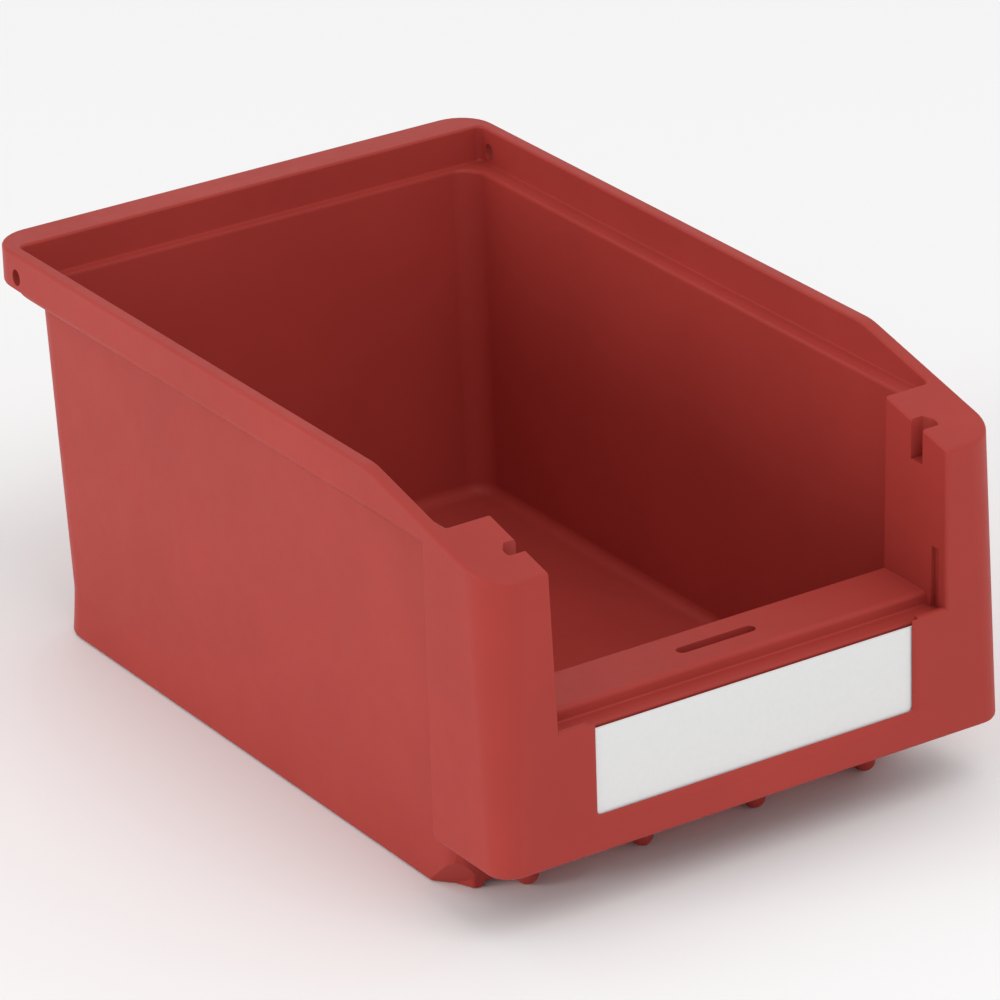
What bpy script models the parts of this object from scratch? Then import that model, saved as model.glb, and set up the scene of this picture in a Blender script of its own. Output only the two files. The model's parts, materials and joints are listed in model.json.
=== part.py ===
"""Stackable storage bin with an open front and a slide-in label card.

Frame: metres, +Z up. The origin is at the centre of the footprint, on the surface
that the bin stands on. The open front faces -Y and the hanging rim is at +Y.
All driving dimensions below are in millimetres and are scaled once, by MM.
"""

from math import atan, cos, sin, tau

import bmesh
import bpy
from mathutils import Matrix, Vector

MM = 0.001

# Overall size
WIDTH = 105.0
HEIGHT = 75.0
HALF_WIDTH = WIDTH / 2
FRONT_Y = -83.5
REAR_Y = 82.5

# The y values are drawn from the middle of the rim; this is the middle of the whole length
CENTRE_Y = (FRONT_Y + REAR_Y) / 2

# Tub outline as (half width, front y, rear y, z): flared foot, crease, sill, rim
FOOT_SECTION = (48.3, -61.5, 72.2, 0.0)
CREASE_SECTION = (47.4, -62.6, 72.6, 8.0)
SILL_SECTION = (47.9, -66.6, 74.2, 38.0)
RIM_SECTION = (48.4, -66.6, 75.7, 68.5)
WALL = 1.8
FLOOR_SECTION = (45.8, -60.1, 70.9, 2.5)
TUB_CORNER_RADIUS = 8.0
TUB_FRONT_RADIUS = 4.0
CAVITY_CORNER_RADIUS = 6.0
FLOOR_EDGE_RADIUS = 1.5

# Underside: a raised floor between side feet, four runner ribs, trimmed foot corners
UNDERSIDE_Z = 0.9
FOOT_INNER_X = 42.0
FOOT_END_Y = 66.0
RIB_X = (-35.5, -11.85, 11.85, 35.5)
RIB_RADIUS = 2.0
RIB_FRONT_Y = -66.8
FOOT_CORNER_POINT = (48.5, -53.9, 0.0)
FOOT_CORNER_NORMAL = (0.656, -0.555, -0.513)
FOOT_TRIM_SIZE = 18.0
FOOT_NOSE_X = 44.8
FOOT_NOSE_Y = (-61.3, -54.0)
FOOT_NOSE_Z = 6.0

# Stacking rim round the top, with the ledge that the next bin's feet stand on
RIM_BOTTOM_Z = 68.0
RIM_WALL = 2.6
RIM_CORNER_RADIUS = 7.3
RIM_INNER_REAR_Y = 75.3
RIM_INNER_RADIUS = 1.0
RIM_START_Y = -65.5
LEDGE_Z = 67.9
LEDGE_UNDERSIDE_Z = 66.1
LEDGE_PLATE_X = 50.5

# Downward-open channel behind the rear wall, which hangs the bin on a rail
CHANNEL_Y = (76.9, 81.1)
CHANNEL_TOP_Z = 73.2
CHANNEL_HALF_WIDTH = 46.5

# Hole near the rear end of each side rim
PIN_HOLE_RADIUS = 1.4
PIN_HOLE_Y = 72.3
PIN_HOLE_Z = 70.5

# Front frame: two pillars joined by a low wall, standing proud of the tub
FRAME_REAR_Y = -62.5
FRAME_TOP_FRONT_Y = -82.35
FRAME_BOTTOM_Z = 12.4
FRAME_CORNER_RADIUS = 6.0
FRAME_SKIN = 1.9
FRAME_HOLLOW_TOP_Z = 33.4
PILLAR_REAR_Y = -64.8
PILLAR_INNER_X = (39.9, 40.5)
PILLAR_HOLLOW_X = (42.2, 46.4)
PILLAR_HOLLOW_FRONT_Y = -80.6
PILLAR_HOLLOW_STEP_Z = 58.0
PILLAR_HOLLOW_RADIUS = 5.0
SLOPE_START_Y = -45.2
SLOPE_END_Y = -82.5
SLOPE_END_Z = 65.8

# Sill between the pillars, the step in front of it and the slot through it
SILL_Z = 38.0
STEP_Z = 35.4
STEP_Y = (-81.6, -77.2)
FLANGE_Z = 36.7
SILL_SLOT_LENGTH = 16.0
SILL_SLOT_WIDTH = 2.4
SILL_SLOT_DEPTH = 3.5
SILL_SLOT_Y = -71.2

# Notches that would hold a clear front pane
NOTCH_Y = (-75.6, -72.3)
NOTCH_BOTTOM_Z = 61.0
NOTCH_DEPTH = 3.8
GUIDE_Y = (-80.6, -78.4)
GUIDE_Z = (34.5, 47.0)
GUIDE_DEPTH = 1.0

# Label window in the front wall, and the pocket behind its edges for the card
WINDOW_HALF_WIDTH = 32.7
WINDOW_BOTTOM_Z = 19.4
WINDOW_FACE_Y = -83.25
WINDOW_ROUND = 1.3
POCKET_Y = (-82.8, -81.1)
POCKET_HALF_WIDTH = 34.0
POCKET_BOTTOM_Z = 17.9

# Label card
CARD_WIDTH = 67.4
CARD_THICKNESS = 0.4
CARD_GAP = 0.3
CARD_TOP_Z = 35.2

# How far a cutter reaches past the face it opens
REACH = 20.0
CORNER_SEGMENTS = 6

POLYPROPYLENE_RED = (0.42, 0.052, 0.042, 1.0)
CARD_WHITE = (0.78, 0.78, 0.78, 1.0)


def clear_scene():
    """Empties the scene, so that the script can run again."""
    for obj in list(bpy.data.objects):
        bpy.data.objects.remove(obj, do_unlink=True)


def new_collection(name):
    collection = bpy.data.collections.new(name)
    bpy.context.scene.collection.children.link(collection)
    return collection


def material(name, colour, roughness):
    mat = bpy.data.materials.new(name)
    mat.use_nodes = True
    shader = mat.node_tree.nodes["Principled BSDF"]
    shader.inputs["Base Color"].default_value = colour
    shader.inputs["Roughness"].default_value = roughness
    shader.inputs["Metallic"].default_value = 0.0
    return mat


def mesh_object(name, bm, collection):
    """Turns a bmesh drawn in millimetres into an object in metres."""
    bmesh.ops.recalc_face_normals(bm, faces=bm.faces)
    bmesh.ops.translate(bm, vec=Vector((0.0, -CENTRE_Y, 0.0)), verts=bm.verts)
    bmesh.ops.scale(bm, vec=Vector((MM, MM, MM)), verts=bm.verts)
    mesh = bpy.data.meshes.new(name)
    bm.to_mesh(mesh)
    bm.free()
    obj = bpy.data.objects.new(name, mesh)
    collection.objects.link(obj)
    return obj


def round_edges(bm, edges, radius):
    bmesh.ops.bevel(bm, geom=edges, offset=radius, offset_type="OFFSET", segments=CORNER_SEGMENTS,
                    profile=0.5, affect="EDGES")


def column(name, collection, sections, front_radius=0.0, rear_radius=0.0, bottom_radius=0.0):
    """A box through (x0, x1, y0, y1, z) sections from the bottom up, with rounded corners."""
    bm = bmesh.new()
    bmesh.ops.create_cube(bm, size=2.0)
    last = len(sections) - 1
    for level in range(1, last):
        geometry = bm.verts[:] + bm.edges[:] + bm.faces[:]
        bmesh.ops.bisect_plane(bm, geom=geometry, plane_co=(0, 0, 2 * level / last - 1), plane_no=(0, 0, 1))
    uprights = {-1: [], 1: []}
    for edge in bm.edges:
        start, end = (vert.co for vert in edge.verts)
        if abs(start.z - end.z) > 1e-4:
            uprights[1 if start.y > 0 else -1].append(edge)
    for vert in bm.verts:
        x0, x1, y0, y1, z = sections[round((vert.co.z + 1) * last / 2)]
        vert.co = (x1 if vert.co.x > 0 else x0, y1 if vert.co.y > 0 else y0, z)
    for side, radius in ((-1, front_radius), (1, rear_radius)):
        if radius:
            round_edges(bm, [e for e in uprights[side] if e.is_valid], radius)
    if bottom_radius:
        bottom_z = sections[0][4]
        bottom = [e for e in bm.edges if all(abs(v.co.z - bottom_z) < 1e-6 for v in e.verts)]
        round_edges(bm, bottom, bottom_radius)
    return mesh_object(name, bm, collection)


def box(name, collection, x0, x1, y0, y1, z0, z1):
    return column(name, collection, [(x0, x1, y0, y1, z0), (x0, x1, y0, y1, z1)])


def mirrored(side, near_x, far_x):
    """The x range of a box on the left (-1) or right (+1), from its distances to the middle."""
    return sorted((side * near_x, side * far_x))


def cylinder(name, collection, radius, start, end, segments=16):
    """A closed cylinder between two points."""
    start, end = Vector(start), Vector(end)
    bm = bmesh.new()
    bmesh.ops.create_cone(bm, cap_ends=True, segments=segments, radius1=radius, radius2=radius,
                          depth=(end - start).length)
    turn = (end - start).to_track_quat("Z", "Y").to_matrix().to_4x4()
    bmesh.ops.transform(bm, matrix=Matrix.Translation((start + end) / 2) @ turn, verts=bm.verts)
    return mesh_object(name, bm, collection)


def boolean(target, tool, operation="DIFFERENCE"):
    """Adds an exact Boolean with a tool object that is left out of the render."""
    tool.hide_render = True
    tool.display_type = "WIRE"
    modifier = target.modifiers.new(operation.title() + " " + tool.name, "BOOLEAN")
    modifier.operation = operation
    modifier.solver = "EXACT"
    modifier.object = tool


def section(outline, inset=0.0):
    half, front, rear, z = outline
    return (inset - half, half - inset, front + inset, rear - inset, z)


def slope_angle():
    return atan((HEIGHT - SLOPE_END_Z) / (SLOPE_START_Y - SLOPE_END_Y))


def slope_z(y):
    """Height of the sloped top of the side rims and pillars."""
    return HEIGHT + (HEIGHT - SLOPE_END_Z) * (y - SLOPE_START_Y) / (SLOPE_START_Y - SLOPE_END_Y)


def make_front_frame(parts, tools):
    """The front frame's lower block, opened from below; the rest of the bin joins it."""
    levels = ((FRONT_Y, FRAME_BOTTOM_Z), (FRAME_TOP_FRONT_Y, HEIGHT))
    rows = [(-HALF_WIDTH, HALF_WIDTH, front, FRAME_REAR_Y, z) for front, z in levels]
    body = column("bin_body", parts, rows, front_radius=FRAME_CORNER_RADIUS)
    inner_x = HALF_WIDTH - FRAME_SKIN
    rear = FRAME_REAR_Y - FRAME_SKIN
    hollow = box("frame_hollow", tools, -inner_x, inner_x, POCKET_Y[1] + WALL, rear,
                 FRAME_BOTTOM_Z - REACH, FRAME_HOLLOW_TOP_Z)
    boolean(body, hollow)
    return body


def add_tub(body, tools):
    """Joins the solid tub, the rim block and the plate that carries the ledge."""
    outlines = [section(s) for s in (FOOT_SECTION, CREASE_SECTION, SILL_SECTION, RIM_SECTION)]
    tub = column("tub_block", tools, outlines, front_radius=TUB_FRONT_RADIUS, rear_radius=TUB_CORNER_RADIUS)
    low = (-LEDGE_PLATE_X, LEDGE_PLATE_X, RIM_START_Y, 76.0, LEDGE_UNDERSIDE_Z)
    high = (-HALF_WIDTH, HALF_WIDTH, RIM_START_Y, 76.0, RIM_BOTTOM_Z + 0.2)
    plate = column("ledge_plate", tools, [low, high])
    rows = [(-HALF_WIDTH, HALF_WIDTH, RIM_START_Y, REAR_Y, z) for z in (RIM_BOTTOM_Z, HEIGHT)]
    rim = column("rim_block", tools, rows, rear_radius=RIM_CORNER_RADIUS)
    for solid in (tub, plate, rim):
        boolean(body, solid, "UNION")


def shape_underside(body, tools):
    """Raises the base between the side feet, trims the feet and adds the runner ribs."""
    hollow = box("base_hollow", tools, -FOOT_INNER_X, FOOT_INNER_X, -REACH * 5, FOOT_END_Y, -REACH, UNDERSIDE_Z)
    boolean(body, hollow)
    for side in (-1, 1):
        point = Vector(FOOT_CORNER_POINT)
        normal = Vector(FOOT_CORNER_NORMAL).normalized()
        point.x *= side
        normal.x *= side
        bm = bmesh.new()
        bmesh.ops.create_cube(bm, size=FOOT_TRIM_SIZE)
        turn = normal.to_track_quat("Z", "Y").to_matrix().to_4x4()
        centre = point + normal * FOOT_TRIM_SIZE / 2
        bmesh.ops.transform(bm, matrix=Matrix.Translation(centre) @ turn, verts=bm.verts)
        boolean(body, mesh_object("foot_corner_trim", bm, tools))
        x0, x1 = mirrored(side, FOOT_INNER_X, FOOT_NOSE_X)
        boolean(body, box("foot_nose", tools, x0, x1, *FOOT_NOSE_Y, 0.0, FOOT_NOSE_Z), "UNION")
    for x in RIB_X:
        start = (x, RIB_FRONT_Y, RIB_RADIUS)
        end = (x, FOOT_END_Y + 0.5, RIB_RADIUS)
        boolean(body, cylinder("runner_rib", tools, RIB_RADIUS, start, end), "UNION")


def outer_front_edge(bm, side):
    """The upright edge of a box that is furthest forward and furthest from the middle."""
    front = min(vert.co.y for vert in bm.verts)
    outer = max(side * vert.co.x for vert in bm.verts)
    corner = [v for v in bm.verts if v.co.y < front + 1e-4 and side * v.co.x > outer - 1e-4]
    return [edge for edge in bm.edges if all(vert in corner for vert in edge.verts)]


def hollow_pillars(body, tools):
    """Hollows both pillars from below, narrower above the pane notches' depth."""
    front = PILLAR_HOLLOW_FRONT_Y
    rear = PILLAR_REAR_Y - WALL
    outer = HALF_WIDTH - FRAME_SKIN - 0.1
    for side in (-1, 1):
        bm = bmesh.new()
        bmesh.ops.create_cube(bm, size=2.0)
        low_x = mirrored(side, PILLAR_HOLLOW_X[0], outer)
        for vert in bm.verts:
            x = low_x[1] if vert.co.x > 0 else low_x[0]
            y = rear if vert.co.y > 0 else front
            vert.co = (x, y, PILLAR_HOLLOW_STEP_Z if vert.co.z > 0 else FRAME_HOLLOW_TOP_Z - REACH)
        round_edges(bm, outer_front_edge(bm, side), PILLAR_HOLLOW_RADIUS)
        boolean(body, mesh_object("pillar_hollow", bm, tools))
        bm = bmesh.new()
        bmesh.ops.create_cube(bm, size=2.0)
        high_x = mirrored(side, PILLAR_HOLLOW_X[1], outer - 0.1)
        for vert in bm.verts:
            x = high_x[1] if vert.co.x > 0 else high_x[0]
            y = rear - 0.1 if vert.co.y > 0 else front + 0.1
            vert.co = (x, y, slope_z(y) - FRAME_SKIN if vert.co.z > 0 else PILLAR_HOLLOW_STEP_Z - 5.0)
        round_edges(bm, outer_front_edge(bm, side), PILLAR_HOLLOW_RADIUS - 1.0)
        boolean(body, mesh_object("pillar_hollow_top", bm, tools))


def hollow_tub(body, tools):
    """Empties the tub: the front leans up to the sill and is upright between the pillars."""
    low = section(FLOOR_SECTION)
    high = section(RIM_SECTION, WALL)
    sill_y = PILLAR_REAR_Y
    middle = section(SILL_SECTION, WALL)
    middle = (middle[0], middle[1], sill_y, middle[3], middle[4])
    high = (high[0], high[1], sill_y, high[3], HEIGHT + REACH)
    cavity = column("tub_cavity", tools, [low, middle, high], front_radius=1.5,
                    rear_radius=CAVITY_CORNER_RADIUS, bottom_radius=FLOOR_EDGE_RADIUS)
    boolean(body, cavity)


def cut_rim(body, tools):
    """Cuts the ledge, the hanging channel and the pin holes into the rim."""
    inner_x = HALF_WIDTH - RIM_WALL
    rows = [(-inner_x, inner_x, PILLAR_REAR_Y, RIM_INNER_REAR_Y, z) for z in (LEDGE_Z, HEIGHT + REACH)]
    boolean(body, column("ledge_cut", tools, rows, rear_radius=RIM_INNER_RADIUS))
    channel = box("hanging_channel", tools, -CHANNEL_HALF_WIDTH, CHANNEL_HALF_WIDTH, *CHANNEL_Y,
                  LEDGE_UNDERSIDE_Z - REACH, CHANNEL_TOP_Z)
    boolean(body, channel)
    reach_x = HALF_WIDTH + REACH
    start = (-reach_x, PIN_HOLE_Y, PIN_HOLE_Z)
    boolean(body, cylinder("pin_holes", tools, PIN_HOLE_RADIUS, start, (reach_x, PIN_HOLE_Y, PIN_HOLE_Z)))


def cut_front(body, tools):
    """Slopes the rim down to the pillars and opens the front above the sill."""
    angle = slope_angle()
    length = 90.0
    bm = bmesh.new()
    bmesh.ops.create_cube(bm, size=1.0)
    bmesh.ops.scale(bm, vec=Vector((WIDTH + REACH, length, REACH)), verts=bm.verts)
    centre = Vector((0.0, SLOPE_START_Y, HEIGHT))
    centre -= Vector((0.0, cos(angle), sin(angle))) * length / 2
    centre += Vector((0.0, -sin(angle), cos(angle))) * REACH / 2
    turn = Matrix.Rotation(angle, 4, "X")
    bmesh.ops.transform(bm, matrix=Matrix.Translation(centre) @ turn, verts=bm.verts)
    boolean(body, mesh_object("slope_cut", bm, tools))
    low, high = PILLAR_INNER_X
    rear = PILLAR_REAR_Y + 2.0
    opening = column("front_opening", tools, [(-low, low, FRONT_Y - REACH, rear, SILL_Z),
                                              (-high, high, FRONT_Y - REACH, rear, HEIGHT + 1.0)])
    boolean(body, opening)
    boolean(body, box("sill_step", tools, -low, low, *STEP_Y, STEP_Z, SILL_Z + 1.0))
    boolean(body, box("flange_top", tools, -low, low, FRONT_Y - REACH, STEP_Y[0] + 0.1, FLANGE_Z, SILL_Z + 1.0))


def cut_window(body, tools):
    """Cuts the label window with a rounded edge, and the pocket behind it."""
    half, bottom = WINDOW_HALF_WIDTH, WINDOW_BOTTOM_Z
    steps = 3
    for index in range(steps):
        turn = tau / 4 * (index + 1) / steps
        grow = WINDOW_ROUND * (1 - sin(turn - tau / 4 / steps))
        depth = (POCKET_Y[0] - WINDOW_FACE_Y) * (1 - cos(turn))
        if index == steps - 1:
            depth = POCKET_Y[0] - WINDOW_FACE_Y + 0.1
            grow = 0.0
        cutter = box("label_window", tools, -half - grow, half + grow, FRONT_Y - 1.0, WINDOW_FACE_Y + depth,
                     bottom - grow, SILL_Z + 2.0)
        boolean(body, cutter)
    pocket = box("label_pocket", tools, -POCKET_HALF_WIDTH, POCKET_HALF_WIDTH, *POCKET_Y, POCKET_BOTTOM_Z, SILL_Z + 3.0)
    boolean(body, pocket)


def cut_slots(body, tools):
    """Cuts the sill slot and the pane notches in both pillars."""
    half = (SILL_SLOT_LENGTH - SILL_SLOT_WIDTH) / 2
    radius = SILL_SLOT_WIDTH / 2
    steps = 16
    bm = bmesh.new()
    ring = []
    for index in range(steps):
        angle = tau * (index + 0.5) / steps
        x = cos(angle) * radius + (half if cos(angle) > 0 else -half)
        ring.append(bm.verts.new((x, SILL_SLOT_Y + sin(angle) * radius, SILL_Z - SILL_SLOT_DEPTH)))
    raised = bmesh.ops.extrude_face_region(bm, geom=[bm.faces.new(ring)])["geom"]
    top = [item for item in raised if isinstance(item, bmesh.types.BMVert)]
    bmesh.ops.translate(bm, vec=(0, 0, SILL_SLOT_DEPTH + 5.0), verts=top)
    boolean(body, mesh_object("sill_slot", bm, tools))
    for side in (-1, 1):
        x0, x1 = mirrored(side, PILLAR_INNER_X[0] - 2.0, PILLAR_INNER_X[1] + NOTCH_DEPTH)
        boolean(body, box("pane_notch", tools, x0, x1, *NOTCH_Y, NOTCH_BOTTOM_Z, HEIGHT + 1.0))
        x0, x1 = mirrored(side, PILLAR_INNER_X[0] - 2.0, PILLAR_INNER_X[0] + GUIDE_DEPTH)
        boolean(body, box("pane_guide", tools, x0, x1, *GUIDE_Y, *GUIDE_Z))


def make_bin_body(parts, tools):
    """The one-piece moulded bin."""
    body = make_front_frame(parts, tools)
    add_tub(body, tools)
    shape_underside(body, tools)
    hollow_pillars(body, tools)
    hollow_tub(body, tools)
    cut_rim(body, tools)
    cut_front(body, tools)
    cut_window(body, tools)
    cut_slots(body, tools)
    body.data.materials.append(material("red_polypropylene", POLYPROPYLENE_RED, 0.5))
    return body


def make_label_card(parts):
    """The card that slides up out of the window; its origin is at its lower edge."""
    bottom_z = POCKET_BOTTOM_Z + CARD_GAP
    half = CARD_WIDTH / 2
    card = box("label_card", parts, -half, half, 0.0, CARD_THICKNESS, 0.0, CARD_TOP_Z - bottom_z)
    card.location = Vector((0.0, POCKET_Y[0] + CARD_GAP, bottom_z)) * MM
    card.data.materials.append(material("white_card", CARD_WHITE, 0.6))
    return card


def main():
    clear_scene()
    parts = new_collection("storage_bin")
    tools = new_collection("cutters")
    make_bin_body(parts, tools)
    make_label_card(parts)


main()
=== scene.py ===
"""Looks of the stackable storage bin: a finer moulded shell, the label card, light and camera.

All shapes below are drawn in millimetres in the CAD frame (x across, -y to the open
front, z up from the surface the bin stands on) and scaled to metres once, by MM.
"""

import json
from math import cos, pi, radians, sin

import bmesh
import bpy
from mathutils import Matrix, Vector

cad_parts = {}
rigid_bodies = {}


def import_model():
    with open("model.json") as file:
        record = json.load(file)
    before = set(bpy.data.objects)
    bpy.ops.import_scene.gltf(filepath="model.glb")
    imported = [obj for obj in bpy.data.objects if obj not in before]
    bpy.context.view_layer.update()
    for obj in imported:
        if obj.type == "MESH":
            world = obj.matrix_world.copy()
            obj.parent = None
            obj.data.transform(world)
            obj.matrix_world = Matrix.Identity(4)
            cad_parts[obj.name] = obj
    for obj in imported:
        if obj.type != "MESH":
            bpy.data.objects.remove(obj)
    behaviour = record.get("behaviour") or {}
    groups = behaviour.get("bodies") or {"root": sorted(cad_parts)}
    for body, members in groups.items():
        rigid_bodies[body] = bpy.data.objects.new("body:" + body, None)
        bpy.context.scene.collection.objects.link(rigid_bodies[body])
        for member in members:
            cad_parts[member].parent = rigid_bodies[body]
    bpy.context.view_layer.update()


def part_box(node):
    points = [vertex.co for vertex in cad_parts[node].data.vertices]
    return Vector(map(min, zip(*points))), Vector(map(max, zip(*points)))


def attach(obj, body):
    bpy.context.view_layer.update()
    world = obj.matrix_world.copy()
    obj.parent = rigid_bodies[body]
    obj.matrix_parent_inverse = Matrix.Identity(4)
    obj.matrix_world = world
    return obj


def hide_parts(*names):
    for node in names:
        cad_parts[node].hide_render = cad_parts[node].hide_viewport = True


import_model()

MM = 0.001

# ---------------------------------------------------------------- dimensions, mm
# Shift from the drawing's y = 0, the middle of the rim, to the frame's y = 0
MIDDLE = Vector((0.0, 0.5, 0.0))
card_low, card_high = (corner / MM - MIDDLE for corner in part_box("label_card"))
body_low, body_high = (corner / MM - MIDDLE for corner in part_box("bin_body"))
HALF_WIDTH = body_high.x
FRONT_Y = body_low.y
REAR_Y = body_high.y
HEIGHT = body_high.z

SLOPE_START_Y = -45.2
SLOPE_END_Y = -82.5
SLOPE_END_Z = 65.8
SLOPE_BLEND = 1.6
FRAME_REAR_Y = -62.5
FRAME_TOP_FRONT_Y = -82.35
FRAME_BOTTOM_Z = 12.4
PILLAR_REAR_Y = -64.8
OPENING_LOW_X = 39.9
OPENING_HIGH_X = 40.5
SILL_Z = 38.0
STEP_Z = 35.4
FLANGE_Z = 36.7
FLANGE_ROUND = 0.75
FLANGE_REAR_Y = -81.6
POCKET_Y = (-82.8, -81.1)
POCKET_HALF = 34.0
POCKET_BOTTOM_Z = 17.9
WINDOW_HALF = 32.7
WINDOW_BOTTOM_Z = 19.4
WINDOW_ROUND = 1.8
CHANNEL_Y = (76.9, 81.1)
CHANNEL_TOP_Z = 73.2
CHANNEL_HALF = 46.5
WALL = 1.9
TUB_FRONT_Y = -66.6
TUB_FRONT_RADIUS = 4.0
RIM_CORNER_RADIUS = 7.3
FLOOR_Z = 2.5
FLOOR_FILLET = 2.2
MOUTH_HALF = 49.9
MOUTH_REAR_Y = 75.3
MOUTH_FRONT_RADIUS = 1.2
MOUTH_REAR_RADIUS = 1.1
FOOT_INNER_X = 42.0
FOOT_END_Y = 66.0
UNDERSIDE_Z = 0.9
FOOT_NOSE_TOP_Z = 6.5
FOOT_TRIM_POINT = (48.5, -53.9)
FOOT_TRIM_NORMAL = (0.656, -0.555, -0.513)
FOOT_TRIM_SIZE = 18.0
RIB_X = (-35.5, -11.85, 11.85, 35.5)
RIB_RADIUS = 2.0
RIB_Y = (-67.1, 66.5)
FRAME_HOLLOW_TOP_Z = 33.4
PILLAR_HOLLOW_X = 42.2
PILLAR_HOLLOW_UPPER_X = 46.4
PILLAR_HOLLOW_FRONT_Y = -80.6
PILLAR_HOLLOW_STEP_Z = 58.0
PILLAR_HOLLOW_ROUND = 5.0
PIN_HOLE_RADIUS = 1.35
PIN_HOLE_STRETCH = 1.17  # the holes are slightly taller than wide
PIN_HOLE_Y = 72.3
PIN_HOLE_Z = 70.45
SILL_SLOT_Y = -71.2
SILL_SLOT_HALF = 6.9
SILL_SLOT_RADIUS = 1.15
SILL_SLOT_FLOOR_Z = 34.6
NOTCH_FLOOR_Z = 61.0
GUIDE_Y = (-80.7, -78.5)
GUIDE_TOP_Z = 47.0
GUIDE_OUTER_X = 40.9
SILL_BAR_HALF = 40.6
SILL_BAR_FLOOR_Z = 33.8
CARD_CORNER = 0.5
EDGE = 0.6  # radius of the rounded top edges
CROSSING = 0.03  # how far a cutter's last ring passes the surface it cuts
CLEAR = 12.0  # how far a cutter reaches into open air

# Camera in metres, and its lens for the 36 mm sensor
CAMERA_LOCATION = (-0.54581, -0.85179, 0.49559)
CAMERA_TURN_DEG = (65.6627, 1.6347, -33.5326)
CAMERA_LENS = 224.65

# Studio, in metres and watts
FLOOR_HALF = 3.0
FLOOR_DROP = 0.0002  # keeps the floor just under the bin's feet
LIGHT_TARGET = (0, 0, 0.03)
WORLD_STRENGTH = 0.8


# ---------------------------------------------------------------- mesh helpers
def hidden_collection(name):
    collection = bpy.data.collections.new(name)
    bpy.context.scene.collection.children.link(collection)
    return collection


work = hidden_collection("bin_tools")


def to_object(name, bm):
    bmesh.ops.recalc_face_normals(bm, faces=bm.faces)
    bmesh.ops.translate(bm, vec=MIDDLE, verts=bm.verts)
    bmesh.ops.scale(bm, vec=Vector((MM, MM, MM)), verts=bm.verts)
    mesh = bpy.data.meshes.new(name)
    bm.to_mesh(mesh)
    bm.free()
    obj = bpy.data.objects.new(name, mesh)
    work.objects.link(obj)
    return obj


def slope_drop(y):
    """How far the rim's top is below its full height at y, with a softened break."""
    rise = (HEIGHT - SLOPE_END_Z) / (SLOPE_START_Y - SLOPE_END_Y)
    ahead = SLOPE_START_Y - y
    if ahead <= -SLOPE_BLEND:
        return 0.0
    if ahead >= SLOPE_BLEND:
        return rise * ahead
    return rise * (ahead + SLOPE_BLEND) ** 2 / (4 * SLOPE_BLEND)


def half_outline(half, front, rear, front_radius, rear_radius, segments=8):
    """Right half of a rounded rectangle in plan, from the front to the rear."""
    points = []
    for step in range(segments + 1):
        angle = pi / 2 * step / segments
        points.append((half - front_radius + front_radius * sin(angle),
                       front + front_radius - front_radius * cos(angle)))
    for offset in (-3.0, -1.6, -0.8, 0.0, 0.8, 1.6, 3.0):
        points.append((half, SLOPE_START_Y + offset))
    for step in range(segments + 1):
        angle = pi / 2 * step / segments
        points.append((half - rear_radius + rear_radius * cos(angle),
                       rear - rear_radius + rear_radius * sin(angle)))
    return points


def ring(half_points, place):
    """Both halves of a mirrored outline as 3-D points, from place(x, y)."""
    right = [place(x, y) for x, y in half_points]
    left = [place(-x, y) for x, y in reversed(half_points)]
    return right + left


def plan_ring(half_points, z, follow=False):
    return ring(half_points, lambda x, y: (x, y, z - (slope_drop(y) if follow else 0.0)))


def loft(name, rings):
    """A closed solid through mirrored rings, with caps made of strips from side to side."""
    bm = bmesh.new()
    rows = [[bm.verts.new(point) for point in points] for points in rings]
    count = len(rows[0])
    for low, high in zip(rows, rows[1:]):
        for index in range(count):
            after = (index + 1) % count
            bm.faces.new((low[index], low[after], high[after], high[index]))
    for row, flip in ((rows[0], True), (rows[-1], False)):
        for index in range(count // 2 - 1):
            corners = [row[index], row[index + 1], row[count - 2 - index], row[count - 1 - index]]
            bm.faces.new(reversed(corners) if flip else corners)
    bmesh.ops.remove_doubles(bm, verts=bm.verts, dist=1e-5)
    return to_object(name, bm)


def box(name, x0, x1, y0, y1, z0, z1):
    bm = bmesh.new()
    bmesh.ops.create_cube(bm, size=1.0)
    for vert in bm.verts:
        vert.co = (x1 if vert.co.x > 0 else x0, y1 if vert.co.y > 0 else y0, z1 if vert.co.z > 0 else z0)
    return to_object(name, bm)


def prism(name, profile, place, start, end):
    """A profile carried straight from start to end; place(a, b, t) gives each point."""
    bm = bmesh.new()
    ends = [[bm.verts.new(place(a, b, t)) for a, b in profile] for t in (start, end)]
    count = len(profile)
    for index in range(count):
        after = (index + 1) % count
        bm.faces.new((ends[0][index], ends[0][after], ends[1][after], ends[1][index]))
    bm.faces.new(reversed(ends[0]))
    bm.faces.new(ends[1])
    return to_object(name, bm)


def arc(centre, radius, start_deg, end_deg, steps=4):
    angles = [radians(start_deg + (end_deg - start_deg) * i / steps) for i in range(steps + 1)]
    return [(centre[0] + radius * cos(a), centre[1] + radius * sin(a)) for a in angles]


def along_x(profile, name, start, end):
    return prism(name, profile, lambda a, b, t: (t, a, b), start, end)


def upward(profile, name, start, end):
    return prism(name, profile, lambda a, b, t: (a, b, t), start, end)


def apply_boolean(target, tool, operation="DIFFERENCE"):
    modifier = target.modifiers.new(operation, "BOOLEAN")
    modifier.operation = operation
    modifier.solver = "EXACT"
    modifier.object = tool


def bake_modifiers(obj, name):
    """A new object that holds the evaluated mesh, so that the tools can be deleted."""
    graph = bpy.context.evaluated_depsgraph_get()
    graph.update()
    mesh = bpy.data.meshes.new_from_object(obj.evaluated_get(graph))
    mesh.name = name
    result = bpy.data.objects.new(name, mesh)
    bpy.context.scene.collection.objects.link(result)
    return result


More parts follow.
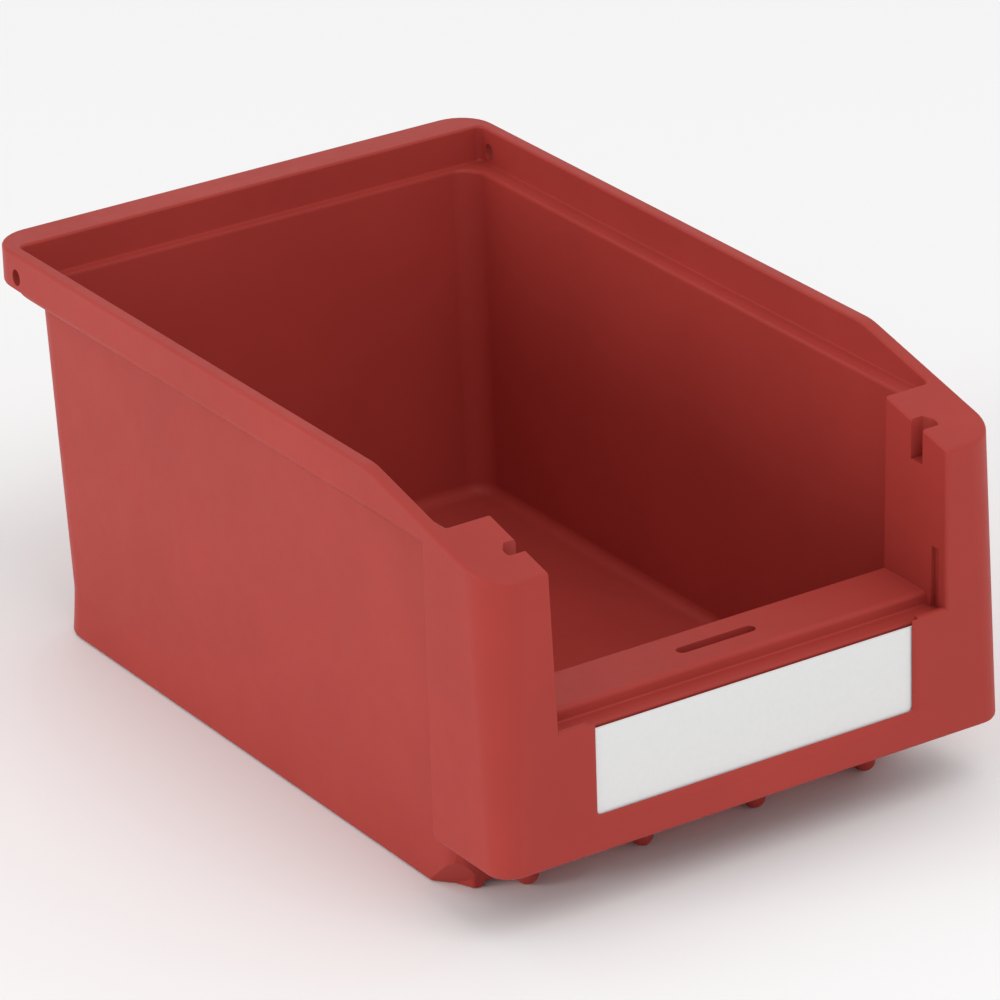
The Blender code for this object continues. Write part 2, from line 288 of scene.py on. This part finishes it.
# ---------------------------------------------------------------- the moulded shell
def rounded_top(half, front, rear, front_radius, rear_radius, grow):
    """Rings of a rounded top edge; grow is -1 for a solid and +1 for a hollow."""
    rings = []
    lift = CROSSING if grow > 0 else 0.0
    for step in range(5):
        angle = pi / 2 * step / 4
        shift = grow * EDGE * (1 - cos(angle))
        z = HEIGHT - EDGE + EDGE * sin(angle) + lift
        points = half_outline(half + shift, front - shift, rear + shift,
                              max(front_radius + shift, 0.3), rear_radius + shift)
        rings.append(plan_ring(points, z, follow=True))
    return rings


def make_tub_block():
    """Outside of the tub and rim, from the foot up."""
    front = TUB_FRONT_Y
    levels = [
        # half width, front y, rear y, rear radius, z
        (47.8, -61.0, 71.7, 7.0, 0.0), (48.15, -61.35, 72.05, 7.3, 0.15), (48.3, -61.5, 72.2, 7.5, 0.5),
        (48.0, -61.9, 72.25, 7.5, 3.0), (47.75, -62.3, 72.35, 7.5, 5.3), (47.5, -62.6, 72.5, 7.5, 7.6),
        (47.42, -62.9, 72.62, 7.5, 9.2), (47.9, front, 74.2, 7.4, 38.0), (48.33, front, 75.55, 7.3, 64.6),
        (48.45, front, 75.65, 7.3, 65.4), (48.9, front, 75.8, 7.3, 65.95), (49.6, front, 76.0, 7.3, 66.1),
        (50.6, front, 76.15, 7.2, 66.25), (51.5, front, 76.3, 7.0, 66.7), (52.15, front, 76.5, 6.8, 67.3),
        (52.42, front, 76.7, 6.4, 67.85), (52.44, front, 82.0, 7.1, 67.95), (52.48, front, 82.38, 7.2, 68.15),
        (HALF_WIDTH, front, REAR_Y, RIM_CORNER_RADIUS, 68.6),
    ]
    rings = [plan_ring(half_outline(h, f, r, TUB_FRONT_RADIUS, radius), z) for h, f, r, radius, z in levels]
    rings += rounded_top(HALF_WIDTH, front, REAR_Y, TUB_FRONT_RADIUS, RIM_CORNER_RADIUS, -1)
    return loft("tub_block", rings)


def make_cavity():
    """Inside of the tub, the ledge and the rim."""
    rings = []
    for step in range(6):
        angle = pi / 2 * step / 5
        inset = FLOOR_FILLET * (1 - sin(angle))
        z = FLOOR_Z + FLOOR_FILLET * (1 - cos(angle))
        outline = half_outline(45.8 - inset, -60.1 + inset, 70.9 - inset, TUB_FRONT_RADIUS, 4.6 - inset)
        rings.append(plan_ring(outline, z))
    front = PILLAR_REAR_Y
    levels = [
        # half width, front y, rear y, front radius, rear radius, z
        (46.1, front, 72.4, 1.2, 4.5, 38.0), (46.55, front, 73.8, 1.2, 4.3, 67.1),
        (46.62, front, 73.85, 1.2, 4.2, 67.5), (46.8, front, 74.0, 1.2, 4.0, 67.8),
        (47.15, front, 74.3, 1.2, 3.7, 67.88), (49.45, front, 74.9, 1.2, 1.5, 67.92),
        (49.75, front, 75.15, 1.2, 1.2, 68.02), (49.9, front, 75.3, 1.2, 1.1, 68.35),
    ]
    rings += [plan_ring(half_outline(h, f, r, fr, rr), z) for h, f, r, fr, rr, z in levels]
    rings += rounded_top(MOUTH_HALF, front, MOUTH_REAR_Y, MOUTH_FRONT_RADIUS, MOUTH_REAR_RADIUS, 1)
    above = half_outline(MOUTH_HALF + EDGE, front - EDGE, MOUTH_REAR_Y + EDGE,
                         MOUTH_FRONT_RADIUS + EDGE, MOUTH_REAR_RADIUS + EDGE)
    rings.append(plan_ring(above, HEIGHT + CLEAR))
    return loft("cavity", rings)


def face_y(z):
    """The front face leans forward a little towards its foot."""
    return FRONT_Y + (FRAME_TOP_FRONT_Y - FRONT_Y) * (z - FRAME_BOTTOM_Z) / (HEIGHT - FRAME_BOTTOM_Z)


def frame_outline(inset, z):
    """Plan of the front frame: its front corners tighten towards the foot."""
    half, front, rear = HALF_WIDTH - inset, face_y(z) + inset, FRAME_REAR_Y - inset
    radius = 4.5 + 2.7 * (z - FRAME_BOTTOM_Z) / (HEIGHT - FRAME_BOTTOM_Z) - inset
    points = []
    for step in range(13):
        angle = pi / 2 * step / 12
        points.append((half - radius + radius * sin(angle), front + radius - radius * cos(angle)))
    for step in range(5):
        angle = pi / 2 * step / 4
        points.append((half - 0.5 + 0.5 * cos(angle), rear - 0.5 + 0.5 * sin(angle)))
    return points


def make_frame_block():
    rings = []
    for step in range(5):
        angle = pi / 2 * step / 4
        outline = frame_outline(1.0 - sin(angle), FRAME_BOTTOM_Z)
        rings.append(plan_ring(outline, FRAME_BOTTOM_Z + 1.0 - cos(angle)))
    for step in range(5):
        angle = pi / 2 * step / 4
        z = HEIGHT - EDGE + EDGE * sin(angle)
        rings.append(plan_ring(frame_outline(EDGE * (1 - cos(angle)), HEIGHT), z, follow=True))
    return loft("frame_block", rings)


def flange_z(y):
    """Height of the front wall's top beside the window, with its front edge rounded."""
    if y > FLANGE_REAR_Y + 0.01:
        return STEP_Z - 0.4
    if y > FLANGE_REAR_Y - 0.3:
        return FLANGE_Z - 0.3 * (1 - (FLANGE_REAR_Y - y) / 0.3)
    ahead = max(0.0, face_y(FLANGE_Z) + FLANGE_ROUND - y)
    return FLANGE_Z - FLANGE_ROUND + max(0.0, FLANGE_ROUND ** 2 - min(ahead, FLANGE_ROUND) ** 2) ** 0.5


def opening_outline(half, z):
    """Plan of the gap between the pillars, with their edges rounded."""
    front_round, rear_round = 0.7, 0.6
    face = face_y(z)
    points = [(half + front_round, face - 4.0)]
    points += arc((half + front_round, face + front_round), front_round, 270, 180)
    for step, y in enumerate((FLANGE_REAR_Y - 0.3, FLANGE_REAR_Y, FLANGE_REAR_Y + 0.02)):
        points.append((half, max(y, face + front_round + 0.02 * (step + 1))))
    points += arc((half + rear_round, PILLAR_REAR_Y - rear_round), rear_round, 180, 90)
    points.append((half + rear_round, PILLAR_REAR_Y + 2.5))
    return points


def make_opening():
    rings = [ring(opening_outline(OPENING_LOW_X, FLANGE_Z), lambda x, y: (x, y, flange_z(y)))]
    for step in range(5):
        angle = pi / 2 * step / 4
        half = OPENING_HIGH_X + EDGE * (1 - cos(angle))
        z = HEIGHT - EDGE + EDGE * sin(angle) + CROSSING
        rings.append(plan_ring(opening_outline(half, HEIGHT), z, follow=True))
    rings.append(plan_ring(opening_outline(OPENING_HIGH_X + EDGE, HEIGHT), HEIGHT + CLEAR))
    return loft("opening", rings)


def make_sill():
    """The flat sill, its rounded edges, the step in front of it and the lip behind the card."""
    profile = [(-64.4, SILL_BAR_FLOOR_Z)]
    profile += arc((-65.6, 37.2), 0.8, 0, 90)
    profile += arc((-76.3, 37.1), 0.9, 90, 180)
    profile += arc((-77.6, 35.8), 0.4, 0, -90)
    profile += arc((POCKET_Y[1] + 0.6, STEP_Z - 0.6), 0.6, 90, 180)
    profile.append((POCKET_Y[1], SILL_BAR_FLOOR_Z))
    return along_x(profile, "sill_bar", -SILL_BAR_HALF, SILL_BAR_HALF)


def make_window():
    """The label window with quarter-rounded edges and slightly rounded lower corners."""
    def window_ring(grow, share):
        """share runs from 0 on the leaning face to 1 on the front wall's rear face."""
        half, bottom, corner = WINDOW_HALF + grow, WINDOW_BOTTOM_Z - grow, 0.8 + grow
        points = [(half - corner + a, bottom + corner + b) for a, b in arc((0, 0), corner, 270, 360)]
        points.append((half, SILL_Z + 4.0))
        right = [(x, face_y(z) + share * (POCKET_Y[0] + 0.02 - face_y(z)), z) for x, z in points]
        left = [(-x, y, z) for x, y, z in reversed(right)]
        return right + left
    rings = [window_ring(WINDOW_ROUND + 0.02, -1.2)]
    for step in range(7):
        angle = pi / 2 * step / 6
        rings.append(window_ring(WINDOW_ROUND * (1 - sin(angle)), 0.01 + 0.94 * (1 - cos(angle))))
    rings.append(window_ring(0.0, 1.05))
    return loft("window", rings)


def make_rib(x):
    """A runner rib: a bar with a round section and a domed front end."""
    front, rear = RIB_Y
    bm = bmesh.new()
    bmesh.ops.create_uvsphere(bm, u_segments=20, v_segments=10, radius=RIB_RADIUS)
    for vert in bm.verts:
        if vert.co.y > 1e-4:
            vert.co.y += rear - front - 2 * RIB_RADIUS
    bmesh.ops.translate(bm, vec=(x, front + RIB_RADIUS, RIB_RADIUS), verts=bm.verts)
    return to_object("rib", bm)


def make_foot_trim(side):
    """A cutter whose face slants across a front corner of the foot."""
    x, y = FOOT_TRIM_POINT
    across, ahead, down = FOOT_TRIM_NORMAL
    point = Vector((side * x, y, 0.0))
    normal = Vector((side * across, ahead, down)).normalized()
    bm = bmesh.new()
    bmesh.ops.create_cube(bm, size=FOOT_TRIM_SIZE)
    turn = normal.to_track_quat("Z", "Y").to_matrix().to_4x4()
    place = Matrix.Translation(point + normal * FOOT_TRIM_SIZE / 2) @ turn
    bmesh.ops.transform(bm, matrix=place, verts=bm.verts)
    return to_object("foot_trim", bm)


def make_foot_nose(side):
    """The narrower front end of the foot, between the trimmed corner and the front wall."""
    profile = [(41.9, -54.0), (46.9, -54.0), (45.5, -57.3)]
    profile += arc((43.2, -60.5), 0.9, 10, -90, 4)
    profile += [(41.9, -61.4)]
    return upward([(side * a, b) for a, b in profile], "foot_nose", 0.0, FOOT_NOSE_TOP_Z)


def make_pillar_hollow(side, low_x, high_x, front, rear, bottom_z, top):
    """The space inside a pillar; its outer front edge is rounded like the pillar's."""
    bm = bmesh.new()
    bmesh.ops.create_cube(bm, size=1.0)
    x0, x1 = sorted((side * low_x, side * high_x))
    for vert in bm.verts:
        x = x1 if vert.co.x > 0 else x0
        y = rear if vert.co.y > 0 else front
        vert.co = (x, y, top(y) if vert.co.z > 0 else bottom_z)
    corner = [edge for edge in bm.edges
              if all(abs(abs(v.co.x) - high_x) < 1e-4 and abs(v.co.y - front) < 1e-4 for v in edge.verts)]
    bmesh.ops.bevel(bm, geom=corner, offset=PILLAR_HOLLOW_ROUND, offset_type="OFFSET", segments=6,
                    profile=0.5, affect="EDGES")
    return to_object("pillar_hollow", bm)


def make_pin_holes():
    """One bar across the bin, which makes the hole in each side of the rim."""
    bm = bmesh.new()
    bmesh.ops.create_cone(bm, cap_ends=True, segments=32, radius1=PIN_HOLE_RADIUS,
                          radius2=PIN_HOLE_RADIUS, depth=140.0)
    turn = Matrix.Rotation(pi / 2, 4, "Y")
    stretch = Matrix.Diagonal((1.0, 1.0, PIN_HOLE_STRETCH, 1.0))
    place = Matrix.Translation((0, PIN_HOLE_Y, PIN_HOLE_Z)) @ stretch @ turn
    bmesh.ops.transform(bm, matrix=place, verts=bm.verts)
    return to_object("pin_holes", bm)


def make_sill_slot():
    profile = arc((SILL_SLOT_HALF, SILL_SLOT_Y), SILL_SLOT_RADIUS, -90, 90, 8)
    profile += arc((-SILL_SLOT_HALF, SILL_SLOT_Y), SILL_SLOT_RADIUS, 90, 270, 8)
    return upward(profile, "sill_slot", SILL_SLOT_FLOOR_Z, 44.0)


def make_notch(side):
    """The groove for a clear pane in a pillar's inner face, open at the top."""
    profile = [(38.0, -75.6), (43.5, -75.6)]
    profile += arc((43.5, -74.95), 0.65, -90, 0, 3)
    profile += [(44.15, -73.9), (42.9, -72.3), (38.0, -72.3)]
    return upward([(side * a, b) for a, b in profile], "notch", NOTCH_FLOOR_Z, HEIGHT + 2.0)


def make_shell():
    """The whole moulding: solids and cutters applied in order, then baked to one mesh."""
    shell = make_frame_block()
    inner = HALF_WIDTH - WALL
    rear = PILLAR_REAR_Y - 1.8
    apply_boolean(shell, box("frame_hollow", -inner, inner, POCKET_Y[1] + 1.8, FRAME_REAR_Y - WALL,
                             -8.0, FRAME_HOLLOW_TOP_Z))
    apply_boolean(shell, make_tub_block(), "UNION")
    apply_boolean(shell, box("base_hollow", -FOOT_INNER_X, FOOT_INNER_X, -100.0, FOOT_END_Y,
                             -20.0, UNDERSIDE_Z))
    for side in (-1, 1):
        apply_boolean(shell, make_foot_trim(side))
        apply_boolean(shell, make_foot_nose(side), "UNION")
    for x in RIB_X:
        apply_boolean(shell, make_rib(x), "UNION")
    for side in (-1, 1):
        lower = make_pillar_hollow(side, PILLAR_HOLLOW_X, inner - 0.1, PILLAR_HOLLOW_FRONT_Y, rear,
                                   FRAME_BOTTOM_Z + 1.0, lambda y: PILLAR_HOLLOW_STEP_Z)
        upper = make_pillar_hollow(side, PILLAR_HOLLOW_UPPER_X, inner - 0.2, PILLAR_HOLLOW_FRONT_Y + 0.1,
                                   rear - 0.1, PILLAR_HOLLOW_STEP_Z - 5.0,
                                   lambda y: HEIGHT - slope_drop(y) - WALL)
        apply_boolean(shell, lower)
        apply_boolean(shell, upper)
    apply_boolean(shell, make_cavity())
    apply_boolean(shell, box("hanging_channel", -CHANNEL_HALF, CHANNEL_HALF, *CHANNEL_Y, 46.0, CHANNEL_TOP_Z))
    apply_boolean(shell, make_pin_holes())
    apply_boolean(shell, make_opening())
    apply_boolean(shell, make_sill(), "UNION")
    apply_boolean(shell, make_window())
    apply_boolean(shell, box("label_pocket", -POCKET_HALF, POCKET_HALF, *POCKET_Y, POCKET_BOTTOM_Z, 45.0))
    apply_boolean(shell, make_sill_slot())
    for side in (-1, 1):
        apply_boolean(shell, make_notch(side))
        x0, x1 = sorted((side * 38.0, side * GUIDE_OUTER_X))
        apply_boolean(shell, box("guide", x0, x1, *GUIDE_Y, STEP_Z, GUIDE_TOP_Z))
    result = bake_modifiers(shell, "bin_shell")
    for obj in list(work.objects):
        bpy.data.objects.remove(obj, do_unlink=True)
    return result


def shade(obj, angle_deg=32.0):
    for polygon in obj.data.polygons:
        polygon.use_smooth = True
    obj.data.set_sharp_from_angle(angle=radians(angle_deg))
    weighted = obj.modifiers.new("Face weighted normals", "WEIGHTED_NORMAL")
    weighted.keep_sharp = True
    weighted.mode = "FACE_AREA"


def make_card():
    """The card with slightly eased corners."""
    low, high = card_low, card_high
    bm = bmesh.new()
    bmesh.ops.create_cube(bm, size=1.0)
    for vert in bm.verts:
        vert.co = (high.x if vert.co.x > 0 else low.x, high.y if vert.co.y > 0 else low.y,
                   high.z if vert.co.z > 0 else low.z)
    across = [e for e in bm.edges if abs(e.verts[0].co.y - e.verts[1].co.y) > 0.1]
    bmesh.ops.bevel(bm, geom=across, offset=CARD_CORNER, offset_type="OFFSET", segments=4, profile=0.5,
                    affect="EDGES")
    obj = to_object("paper_card", bm)
    work.objects.unlink(obj)
    bpy.context.scene.collection.objects.link(obj)
    return obj


# ---------------------------------------------------------------- materials
def node(tree, kind, **values):
    made = tree.nodes.new(kind)
    for key, value in values.items():
        if key in made.inputs:
            made.inputs[key].default_value = value
        else:
            setattr(made, key, value)
    return made


def plastic():
    """Injection-moulded polypropylene: deep red, fine grain, faint flow clouds and scuffs."""
    mat = bpy.data.materials.new("moulded_polypropylene")
    mat.use_nodes = True
    tree = mat.node_tree
    shader = tree.nodes["Principled BSDF"]
    link = tree.links.new
    place = node(tree, "ShaderNodeTexCoord")
    cloud = node(tree, "ShaderNodeTexNoise", Scale=38.0, Detail=3.0, Roughness=0.55)
    link(place.outputs["Object"], cloud.inputs["Vector"])
    tint = node(tree, "ShaderNodeValToRGB")
    tint.color_ramp.elements[0].position = 0.3
    tint.color_ramp.elements[0].color = (0.375, 0.043, 0.0345, 1.0)
    tint.color_ramp.elements[1].position = 0.7
    tint.color_ramp.elements[1].color = (0.410, 0.048, 0.0385, 1.0)
    link(cloud.outputs["Fac"], tint.inputs["Fac"])
    link(tint.outputs["Color"], shader.inputs["Base Color"])
    grain = node(tree, "ShaderNodeTexNoise", Scale=2600.0, Detail=2.0, Roughness=0.6)
    link(place.outputs["Object"], grain.inputs["Vector"])
    scuff = node(tree, "ShaderNodeTexNoise", Scale=240.0, Detail=4.0, Roughness=0.7)
    link(place.outputs["Object"], scuff.inputs["Vector"])
    rough = node(tree, "ShaderNodeMapRange")
    rough.inputs["From Min"].default_value = 0.35
    rough.inputs["From Max"].default_value = 0.75
    rough.inputs["To Min"].default_value = 0.43
    rough.inputs["To Max"].default_value = 0.53
    link(scuff.outputs["Fac"], rough.inputs["Value"])
    link(rough.outputs["Result"], shader.inputs["Roughness"])
    bump = node(tree, "ShaderNodeBump", Strength=0.18, Distance=0.00006)
    link(grain.outputs["Fac"], bump.inputs["Height"])
    link(bump.outputs["Normal"], shader.inputs["Normal"])
    shader.inputs["Specular IOR Level"].default_value = 0.14
    return mat


def paper():
    """Uncoated white card with a faint fibre mottle."""
    mat = bpy.data.materials.new("white_card_paper")
    mat.use_nodes = True
    tree = mat.node_tree
    shader = tree.nodes["Principled BSDF"]
    link = tree.links.new
    place = node(tree, "ShaderNodeTexCoord")
    fibre = node(tree, "ShaderNodeTexNoise", Scale=900.0, Detail=5.0, Roughness=0.65)
    link(place.outputs["Object"], fibre.inputs["Vector"])
    tint = node(tree, "ShaderNodeValToRGB")
    tint.color_ramp.elements[0].color = (0.74, 0.74, 0.735, 1.0)
    tint.color_ramp.elements[1].color = (0.80, 0.80, 0.80, 1.0)
    link(fibre.outputs["Fac"], tint.inputs["Fac"])
    link(tint.outputs["Color"], shader.inputs["Base Color"])
    bump = node(tree, "ShaderNodeBump", Strength=0.12, Distance=0.00004)
    link(fibre.outputs["Fac"], bump.inputs["Height"])
    link(bump.outputs["Normal"], shader.inputs["Normal"])
    shader.inputs["Roughness"].default_value = 0.75
    return mat


# ---------------------------------------------------------------- assemble
shell = make_shell()
shade(shell)
shell.data.materials.clear()
shell.data.materials.append(plastic())
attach(shell, "bin")
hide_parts("bin_body")

card = make_card()
shade(card)
card.data.materials.append(paper())
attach(card, "card")
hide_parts("label_card")


# ---------------------------------------------------------------- floor, light, camera
def make_floor():
    bm = bmesh.new()
    bmesh.ops.create_grid(bm, x_segments=1, y_segments=1, size=FLOOR_HALF)
    mesh = bpy.data.meshes.new("floor")
    bm.to_mesh(mesh)
    bm.free()
    floor = bpy.data.objects.new("floor", mesh)
    bpy.context.scene.collection.objects.link(floor)
    mat = bpy.data.materials.new("floor_white")
    mat.use_nodes = True
    shader = mat.node_tree.nodes["Principled BSDF"]
    shader.inputs["Base Color"].default_value = (0.95, 0.95, 0.95, 1.0)
    shader.inputs["Roughness"].default_value = 0.9
    shader.inputs["Specular IOR Level"].default_value = 0.1
    mesh.materials.append(mat)
    floor.location.z = -FLOOR_DROP


def make_light(name, location, size, watts):
    """A round soft light that faces the bin."""
    data = bpy.data.lights.new(name, "AREA")
    data.shape = "DISK"
    data.size = size
    data.energy = watts
    lamp = bpy.data.objects.new(name, data)
    bpy.context.scene.collection.objects.link(lamp)
    lamp.location = location
    lamp.rotation_euler = (Vector(LIGHT_TARGET) - Vector(location)).to_track_quat("-Z", "Y").to_euler()


def make_world(strength):
    world = bpy.data.worlds.new("studio")
    world.use_nodes = True
    background = world.node_tree.nodes["Background"]
    background.inputs["Color"].default_value = (1.0, 1.0, 1.0, 1.0)
    background.inputs["Strength"].default_value = strength
    bpy.context.scene.world = world


def make_camera():
    data = bpy.data.cameras.new("camera")
    data.lens = CAMERA_LENS
    data.clip_end = 20.0
    camera = bpy.data.objects.new("camera", data)
    bpy.context.scene.collection.objects.link(camera)
    camera.location = CAMERA_LOCATION
    camera.rotation_euler = [radians(angle) for angle in CAMERA_TURN_DEG]
    bpy.context.scene.camera = camera


bpy.context.scene.view_settings.view_transform = "Standard"
make_floor()
make_world(WORLD_STRENGTH)
make_light("key", (-1.6, 0.3, 0.45), 0.6, 7.0)
make_light("fill", (0.1, -0.8, 1.3), 0.9, 4.5)
make_camera()
